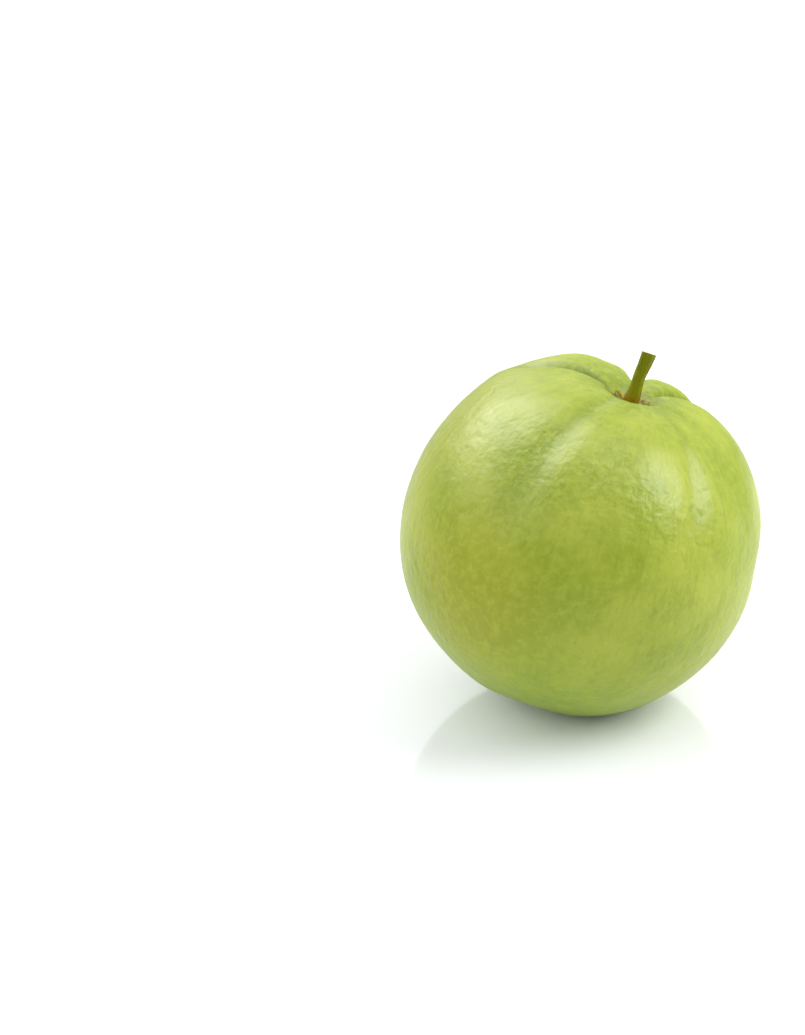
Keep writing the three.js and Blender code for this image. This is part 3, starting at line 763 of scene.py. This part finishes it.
# Scatters dried stamens in a ring: bent tapered threads, each leaning its own way
def stamenTree():
    tree, given, made = newTree(
        "driedStamens",
        {"Count": "Int", "Inner": "Float", "Outer": "Float", "Length": "Float", "Thickness": "Float",
         "Seed": "Int", "Material": "Material"},
        {"Geometry": "Geometry"},
    )
    dots = addNode(tree, "GeometryNodePoints", named={"Count": given["Count"]})
    order = addNode(tree, "GeometryNodeInputIndex")
    share = addNode(tree, "ShaderNodeMath", order, given["Count"], operation="DIVIDE")
    turn = addNode(tree, "ShaderNodeMath", share, 2 * math.pi * calyx["stamenTurns"], operation="MULTIPLY")
    far = addNode(tree, "FunctionNodeRandomValue", data_type="FLOAT", named={
        2: given["Inner"], 3: given["Outer"], "Seed": given["Seed"]})
    unit = addNode(
        tree, "ShaderNodeCombineXYZ",
        addNode(tree, "ShaderNodeMath", turn, operation="COSINE"),
        addNode(tree, "ShaderNodeMath", turn, operation="SINE"),
        0.0)
    spot = addNode(tree, "ShaderNodeVectorMath", unit, named={"Scale": far.outputs[1]}, operation="SCALE")
    placed = addNode(tree, "GeometryNodeSetPosition", dots, named={"Position": spot})

    reach = addNode(tree, "ShaderNodeCombineXYZ", 0.0, 0.0, given["Length"])
    line = addNode(tree, "GeometryNodeCurvePrimitiveLine", named={"End": reach})
    steps = addNode(tree, "GeometryNodeResampleCurve", line, named={"Count": 7})
    along = addNode(tree, "GeometryNodeSplineParameter")
    bend = addNode(tree, "ShaderNodeMath", along, 2.0, operation="POWER")
    sideways = addNode(tree, "ShaderNodeMath", bend, given["Length"], operation="MULTIPLY")
    hook = addNode(tree, "ShaderNodeMath", sideways, calyx["stamenHook"], operation="MULTIPLY")
    shift = addNode(tree, "ShaderNodeCombineXYZ", hook, 0.0, 0.0)
    bent = addNode(tree, "GeometryNodeSetPosition", steps, named={"Offset": shift})
    taper = addNode(
        tree, "ShaderNodeMapRange", along, 0.0, 1.0, 1.0, calyx["stamenTip"], interpolation_type="SMOOTHSTEP")
    thick = addNode(tree, "ShaderNodeMath", taper, given["Thickness"], operation="MULTIPLY")
    section = addNode(tree, "GeometryNodeCurvePrimitiveCircle", named={"Resolution": 5, "Radius": 1.0})
    thread = addNode(tree, "GeometryNodeCurveToMesh", bent, section, named={"Scale": thick, "Fill Caps": True})

    most = calyx["stamenLean"]
    lean = addNode(tree, "FunctionNodeRandomValue", data_type="FLOAT_VECTOR", named={
        0: (-most, -most, 0.0), 1: (most, most, 6.28), "Seed": given["Seed"]})
    short, full = calyx["stamenSizes"]
    size = addNode(
        tree, "FunctionNodeRandomValue", data_type="FLOAT", named={2: short, 3: full, "Seed": given["Seed"]})
    copies = addNode(tree, "GeometryNodeInstanceOnPoints", placed, named={
        "Instance": thread, "Rotation": lean.outputs[0], "Scale": size.outputs[1]})
    real = addNode(tree, "GeometryNodeRealizeInstances", copies)
    smooth = addNode(tree, "GeometryNodeSetShadeSmooth", real)
    finished = addNode(tree, "GeometryNodeSetMaterial", smooth, named={"Material": given["Material"]})
    tree.links.new(finished.outputs[0], made["Geometry"])
    return tree


# The disc, with the dried style standing in its middle. It points down, so heights are negative.
def makeDisc():
    c = calyx
    deep = c["seat"] - c["discHeight"]
    profile = [(5.5, c["seat"]), (5.52, deep + 0.5), (5.2, deep + 0.1), (4.8, deep), (4.3, deep + 0.15),
               (3.6, deep + 0.5), (2.6, deep + 0.75), (1.6, deep + 0.85), (0.9, deep + 0.75), (0.6, deep + 0.4),
               (c["styleRadius"], deep - 0.2), (c["styleRadius"] * 0.8, deep - 1.0),
               (c["styleRadius"] * 0.9, deep - c["styleLength"] + 1.0), (0.15, deep - c["styleLength"] + 0.85)]
    rings = []
    for radius, height in reversed(profile):
        ring = []
        for i in range(c["discSegments"]):
            azimuth = 2 * math.pi * i / c["discSegments"]
            crumb = noise.fractal((radius * math.cos(azimuth), radius * math.sin(azimuth), 2.0), 0.7, 2.0, 3)
            out = radius * (1 + 0.02 * crumb) - 0.02
            lift = height + 0.1 * crumb * min(1, radius)
            ring.append((out * math.cos(azimuth), out * math.sin(azimuth), lift))
        rings.append(ring)
    return newPiece("calyxDisc", ringMesh(
        "calyxDisc", rings, (0, 0, deep - c["styleLength"] + 0.8), (0, 0, c["seat"])))


# Dried calyx tissue: papery, mottled in two browns, dull all over
def driedTissue(name, dark, light, size):
    material, tree, surface = newMaterial(name)
    place = addNode(tree, "ShaderNodeTexCoord").outputs["Object"]
    veins = addNode(tree, "ShaderNodeTexNoise", named={
        "Vector": place, "Scale": 1 / (size * mm), "Detail": 5.0, "Roughness": 0.65, "Distortion": 0.4})
    shade = addNode(tree, "ShaderNodeMapRange", veins, 0.33, 0.68, interpolation_type="SMOOTHSTEP")
    colour = addNode(tree, "ShaderNodeMix", data_type="RGBA",
                     named={0: shade, 6: hexColour(dark), 7: hexColour(light)})
    tree.links.new(colour.outputs[2], surface.inputs["Base Color"])
    surface.inputs["Roughness"].default_value = 0.8
    bump = addNode(tree, "ShaderNodeBump", named={"Strength": 0.6, "Distance": 0.2 * mm, "Height": veins})
    tree.links.new(bump.outputs[0], surface.inputs["Normal"])
    return material


sepalMaterial = driedTissue("driedSepal", "#4a3a1c", "#8a7a45", 1.1)
discMaterial = driedTissue("driedDisc", "#3a2c15", "#6d5a34", 0.8)
threadMaterial = driedTissue("driedStamen", "#2f2312", "#6a4f2a", 0.6)

sepal = makeSepal()
crown = newPiece("sepalCrown")
growMesh(crown, crownTree(), {
    "Sepal": sepal, "Count": calyx["sepals"], "Radius": calyx["discRadius"] * mm,
    "Seed": calyx["seed"], "Material": sepalMaterial,
})
bpy.data.objects.remove(sepal)
stamens = newPiece("driedStamens")
growMesh(stamens, stamenTree(), {
    "Count": calyx["stamens"], "Inner": calyx["stamenInner"] * mm, "Outer": calyx["stamenOuter"] * mm,
    "Length": calyx["stamenLength"] * mm, "Thickness": calyx["stamenRadius"] * mm,
    "Seed": calyx["seed"], "Material": threadMaterial,
})
# both rings were grown upwards, so they are turned over and set on the disc
underside = Matrix.Rotation(math.radians(berry["lean"]), 4, "Y") @ Matrix.Rotation(math.pi, 4, "X")
for piece, level in ((crown, calyx["sepalLevel"]), (stamens, calyx["discHeight"] - calyx["stamenSink"])):
    seat = berryToWorld @ Vector((0, 0, calyx["seat"] - level))
    piece.data.transform(Matrix.Translation(seat) @ underside)
disc = makeDisc()
disc.data.materials.append(discMaterial)
for piece in (crown, stamens, disc):
    piece.data.polygons.foreach_set("use_smooth", [True] * len(piece.data.polygons))
    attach(piece, "root")
    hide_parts("calyx")
print("calyx made")


# White acrylic sheet: glossy enough to mirror the fruit faintly
def whiteAcrylic():
    material, tree, surface = newMaterial("whiteAcrylic")
    surface.inputs["Base Color"].default_value = hexColour("#eef0f6")
    surface.inputs["Roughness"].default_value = 0.1
    surface.inputs["IOR"].default_value = 1.49
    return material


floorMesh = bpy.data.meshes.new("floor")
reach = 4.0
corners = [(-reach, -reach, 0), (reach, -reach, 0), (reach, reach, 0), (-reach, reach, 0)]
floorMesh.from_pydata(corners, [], [(0, 1, 2, 3)])
floorMesh.materials.append(whiteAcrylic())
floor = newPiece("floor", floorMesh)

# Soft studio light: a white room that is brightest on its left wall, a flood from the right that
# shades the forms, and two softboxes that only show in the gloss
lights = {
    "room": {"zenith": 0.9, "horizon": 0.24, "left": 2.9, "right": 0.1, "front": 1.15, "back": 2.0},
    "zenithStart": (0.5, 0.9),  # upward share of the direction
    "horizonFade": (0.1, 0.35, 1.0, 0.0),
    "distance": 0.75,
    "boxes": {
        "leftSoftbox": {"towards": (-0.42, 0.29, 0.86), "size": (0.6, 0.8), "power": 11.0, "shades": False},
        "rightSoftbox": {"towards": (0.75, -0.12, 0.66), "size": (0.42, 0.58), "power": 8.5, "shades": False},
        "rightFlood": {"towards": (0.8, 0.06, 0.55), "size": (0.42, 0.58), "power": 5.3, "shades": True},
    },
}
middle = Vector(berry["centre"]) * mm
for name, box in lights["boxes"].items():
    data = bpy.data.lights.new(name, "AREA")
    data.shape = "RECTANGLE"
    data.size, data.size_y = box["size"]
    data.energy = box["power"]
    lamp = bpy.data.objects.new(name, data)
    lamp.visible_diffuse, lamp.visible_glossy = box["shades"], not box["shades"]
    towards = Vector(box["towards"]).normalized()
    lamp.location = middle + towards * lights["distance"]
    lamp.rotation_euler = towards.to_track_quat("Z", "Y").to_euler()
    bpy.context.scene.collection.objects.link(lamp)
world = bpy.data.worlds.new("whiteRoom")
world.use_nodes = True
room = world.node_tree
facing = addNode(room, "ShaderNodeTexCoord").outputs["Generated"]
split = addNode(room, "ShaderNodeSeparateXYZ", facing).outputs
zenith = addNode(
    room, "ShaderNodeMapRange", split["Z"], *lights["zenithStart"], interpolation_type="SMOOTHSTEP")
horizon = addNode(
    room, "ShaderNodeMapRange", split["Z"], *lights["horizonFade"], interpolation_type="SMOOTHSTEP")
ends = addNode(room, "ShaderNodeMath", zenith, horizon, operation="ADD")
walls = addNode(room, "ShaderNodeMath", 1.0, ends, operation="SUBTRACT")
strength = addNode(room, "ShaderNodeMath", zenith, lights["room"]["zenith"], operation="MULTIPLY")
strength = addNode(
    room, "ShaderNodeMath", horizon, lights["room"]["horizon"], strength, operation="MULTIPLY_ADD")
squares = [addNode(room, "ShaderNodeMath", split[axis], 2.0, operation="POWER") for axis in "XY"]
total = addNode(room, "ShaderNodeMath", *squares, operation="ADD")
for axis, square, low, high in (("X", squares[0], "left", "right"), ("Y", squares[1], "front", "back")):
    positive = addNode(room, "ShaderNodeMath", split[axis], 0.0, operation="GREATER_THAN")
    level = addNode(room, "ShaderNodeMapRange", positive, 0.0, 1.0, lights["room"][low], lights["room"][high])
    share = addNode(room, "ShaderNodeMath", square, total, operation="DIVIDE")
    lit = addNode(room, "ShaderNodeMath", share, level, operation="MULTIPLY")
    strength = addNode(room, "ShaderNodeMath", lit, walls, strength, operation="MULTIPLY_ADD")
room.links.new(strength.outputs[0], room.nodes["Background"].inputs["Strength"])
room.nodes["Background"].inputs["Color"].default_value = (1, 1, 1, 1)
bpy.context.scene.world = world
bpy.context.scene.view_settings.view_transform = "Standard"  # the photo's whites are clipped to pure white

# The camera looks down at the fruit, which stands right of the picture's middle
picture = {"width": 805, "height": 1035, "berryAt": (580, 533)}
view = {"elevation": 24.0, "distance": 760.0, "lens": 100.0, "sensor": 36.0}
pixelsPerTurn = view["lens"] / view["sensor"] * picture["height"]
elevation = math.radians(view["elevation"])
forward = Vector((0, math.cos(elevation), -math.sin(elevation)))
upward = Vector((0, math.sin(elevation), math.cos(elevation)))
aside = (picture["berryAt"][0] - picture["width"] / 2) / pixelsPerTurn * view["distance"] * mm
above = (picture["berryAt"][1] - picture["height"] / 2) / pixelsPerTurn * view["distance"] * mm
cameraData = bpy.data.cameras.new("camera")
cameraData.lens = view["lens"]
cameraData.sensor_width = view["sensor"]
camera = bpy.data.objects.new("camera", cameraData)
camera.location = middle - forward * view["distance"] * mm
aim = middle - Vector((1, 0, 0)) * aside + upward * above
camera.rotation_euler = (camera.location - aim).to_track_quat("Z", "Y").to_euler()
bpy.context.scene.collection.objects.link(camera)
bpy.context.scene.camera = camera
print("floor, light and camera set")
